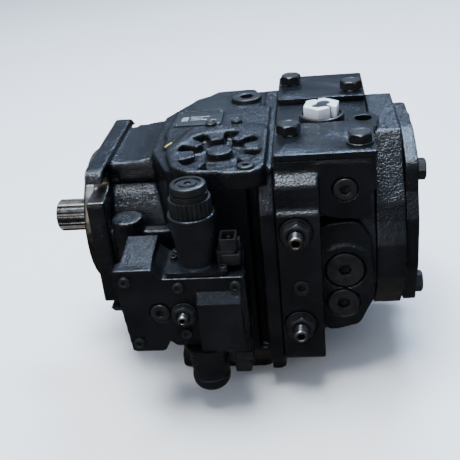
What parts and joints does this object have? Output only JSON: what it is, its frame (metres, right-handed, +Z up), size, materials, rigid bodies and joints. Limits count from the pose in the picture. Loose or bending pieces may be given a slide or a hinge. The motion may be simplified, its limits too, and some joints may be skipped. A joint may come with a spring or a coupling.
{
  "type": "axial piston pump",
  "caption": "Closed-circuit swashplate axial piston pump with flange and splined shaft, top ports with cover plates, electric displacement control and auxiliary pad.",
  "frame": {"origin": "bottom centre of the pump's box, on the surface that its foot stands on", "axes": "+X along the drive shaft from the mounting flange to the auxiliary pad, +Z up, -Y the side with the control"},
  "size_m": [0.344, 0.2624, 0.2336],
  "materials": {
    "black_paint": "semi-gloss black enamel over sand-cast iron",
    "black_fastener": "painted over steel, semi-gloss",
    "bright_steel": "ground",
    "zinc": "zinc plated",
    "bronze": "machined bearing bronze",
    "machined_iron": "machined and oiled",
    "rubber": "matt",
    "white_plastic": "satin shipping cap",
    "black_plastic": "painted over, satin",
    "label_metal": "blank plate, painted over"
  },
  "bodies": {
    "pump_body": {"main_housing": "black_paint", "end_cap": "black_paint", "near_port_cover": "black_paint", "far_port_cover": "black_paint", "charge_pump_housing": "black_paint", "auxiliary_pad_cover": "black_paint", "control_housing": "black_paint", "upper_solenoid": "black_paint", "lower_solenoid": "black_paint", "port_cover_bolt_1": "black_fastener", "port_cover_bolt_2": "black_fastener", "port_cover_bolt_3": "black_fastener", "port_cover_bolt_4": "black_fastener", "pad_cover_bolt_1": "black_fastener", "pad_cover_bolt_2": "black_fastener", "pad_cover_bolt_3": "black_fastener", "pad_cover_bolt_4": "black_fastener", "charge_port_washer": "black_fastener", "drain_plug": "black_fastener", "pad_plug": "black_fastener", "upper_relief_plug": "black_fastener", "high_pressure_relief_plug": "black_fastener", "lower_relief_plug": "black_fastener", "gauge_plug": "black_fastener", "control_plug": "black_fastener", "upper_pressure_adjuster_lock_nut": "black_fastener", "lower_pressure_adjuster_lock_nut": "black_fastener", "neutral_adjuster_lock_nut": "black_fastener", "front_bearing": "bright_steel", "rear_bearing": "bright_steel", "valve_plate": "bronze", "cradle_bearing": "bronze", "cylinder_block": "machined_iron", "shaft_seal": "rubber", "charge_port_cap": "white_plastic", "upper_solenoid_nut": "black_plastic", "upper_connector": "black_plastic", "lower_connector": "black_plastic", "name_plate": "label_metal"},
    "rotating_shaft": {"drive_shaft": "bright_steel", "charge_pump_inner_gear": "machined_iron"},
    "charge_pump_outer_gear": {"charge_pump_outer_gear": "machined_iron"},
    "swashplate": {"swashplate": "machined_iron", "slipper_retainer": "bronze"},
    "servo_piston": {"servo_piston": "bright_steel"},
    "control_spool": {"control_spool": "bright_steel"},
    "upper_override_pin": {"upper_override_pin": "bright_steel"},
    "lower_override_pin": {"lower_override_pin": "bright_steel"},
    "upper_pressure_adjuster": {"upper_pressure_adjuster": "zinc"},
    "lower_pressure_adjuster": {"lower_pressure_adjuster": "zinc"},
    "neutral_adjuster": {"neutral_adjuster": "zinc"},
    "piston_1": {"piston_1": "bright_steel"},
    "piston_2": {"piston_2": "bright_steel"},
    "piston_3": {"piston_3": "bright_steel"},
    "piston_4": {"piston_4": "bright_steel"},
    "piston_5": {"piston_5": "bright_steel"},
    "piston_6": {"piston_6": "bright_steel"},
    "piston_7": {"piston_7": "bright_steel"},
    "piston_8": {"piston_8": "bright_steel"},
    "piston_9": {"piston_9": "bright_steel"}
  },
  "joints": [
    {"name": "shaft_spin", "type": "hinge", "parent": "pump_body", "child": "rotating_shaft", "pos_m": [-0.11638, 0.02718, 0.131], "axis": [1, 0, 0], "continuous": true},
    {"name": "outer_gear_spin", "type": "hinge", "parent": "pump_body", "child": "charge_pump_outer_gear", "pos_m": [0.13862, 0.02718, 0.1334], "axis": [1, 0, 0], "continuous": true},
    {"name": "swash_tilt", "type": "hinge", "parent": "pump_body", "child": "swashplate", "pos_m": [-0.05437, 0.02718, 0.131], "axis": [0, 1, 0], "range_deg": [-17, 17], "stiffness_Nm_per_rad": 6},
    {"name": "servo_slide", "type": "slide", "parent": "pump_body", "child": "servo_piston", "axis": [1, 0, 0], "range_m": [-0.0275, 0.0275]},
    {"name": "piston_1_stroke", "type": "slide", "parent": "pump_body", "child": "piston_1", "axis": [1, 0, 0], "range_m": [-0.01168, 0.01168]},
    {"name": "piston_2_stroke", "type": "slide", "parent": "pump_body", "child": "piston_2", "axis": [1, 0, 0], "range_m": [-0.00897, 0.00897]},
    {"name": "piston_3_stroke", "type": "slide", "parent": "pump_body", "child": "piston_3", "axis": [1, 0, 0], "range_m": [-0.00211, 0.00211]},
    {"name": "piston_4_stroke", "type": "slide", "parent": "pump_body", "child": "piston_4", "axis": [1, 0, 0], "range_m": [-0.00589, 0.00589]},
    {"name": "piston_5_stroke", "type": "slide", "parent": "pump_body", "child": "piston_5", "axis": [1, 0, 0], "range_m": [-0.01098, 0.01098]},
    {"name": "piston_6_stroke", "type": "slide", "parent": "pump_body", "child": "piston_6", "axis": [1, 0, 0], "range_m": [-0.01098, 0.01098]},
    {"name": "piston_7_stroke", "type": "slide", "parent": "pump_body", "child": "piston_7", "axis": [1, 0, 0], "range_m": [-0.00589, 0.00589]},
    {"name": "piston_8_stroke", "type": "slide", "parent": "pump_body", "child": "piston_8", "axis": [1, 0, 0], "range_m": [-0.00211, 0.00211]},
    {"name": "piston_9_stroke", "type": "slide", "parent": "pump_body", "child": "piston_9", "axis": [1, 0, 0], "range_m": [-0.00897, 0.00897]},
    {"name": "control_spool_shift", "type": "slide", "parent": "pump_body", "child": "control_spool", "axis": [0, 0, 1], "range_m": [-0.003, 0.003], "stiffness_N_per_m": 2000},
    {"name": "upper_override_press", "type": "slide", "parent": "pump_body", "child": "upper_override_pin", "axis": [0, 0, -1], "range_m": [0, 0.003], "stiffness_N_per_m": 800},
    {"name": "lower_override_press", "type": "slide", "parent": "pump_body", "child": "lower_override_pin", "axis": [0, 0, 1], "range_m": [0, 0.003], "stiffness_N_per_m": 800},
    {"name": "upper_pressure_adjuster_turn", "type": "hinge", "parent": "pump_body", "child": "upper_pressure_adjuster", "pos_m": [0.06263, -0.08682, 0.162], "axis": [0, -1, 0], "range_deg": [-360, 360]},
    {"name": "lower_pressure_adjuster_turn", "type": "hinge", "parent": "pump_body", "child": "lower_pressure_adjuster", "pos_m": [0.06263, -0.08682, 0.073], "axis": [0, -1, 0], "range_deg": [-360, 360]},
    {"name": "neutral_adjuster_turn", "type": "hinge", "parent": "pump_body", "child": "neutral_adjuster", "pos_m": [-0.03037, -0.11883, 0.109], "axis": [0, -1, 0], "range_deg": [-180, 180]}
  ],
  "couplings": [
    {"joint": "outer_gear_spin", "follows": "shaft_spin", "ratio": 0.85714},
    {"joint": "servo_slide", "follows": "swash_tilt", "m_per_rad": -0.092},
    {"joint": "piston_1_stroke", "follows": "swash_tilt", "m_per_rad": 0.039},
    {"joint": "piston_2_stroke", "follows": "swash_tilt", "m_per_rad": 0.029876},
    {"joint": "piston_3_stroke", "follows": "swash_tilt", "m_per_rad": 0.006772},
    {"joint": "piston_4_stroke", "follows": "swash_tilt", "m_per_rad": -0.0195},
    {"joint": "piston_5_stroke", "follows": "swash_tilt", "m_per_rad": -0.036648},
    {"joint": "piston_6_stroke", "follows": "swash_tilt", "m_per_rad": -0.036648},
    {"joint": "piston_7_stroke", "follows": "swash_tilt", "m_per_rad": -0.0195},
    {"joint": "piston_8_stroke", "follows": "swash_tilt", "m_per_rad": 0.006772},
    {"joint": "piston_9_stroke", "follows": "swash_tilt", "m_per_rad": 0.029876}
  ]
}
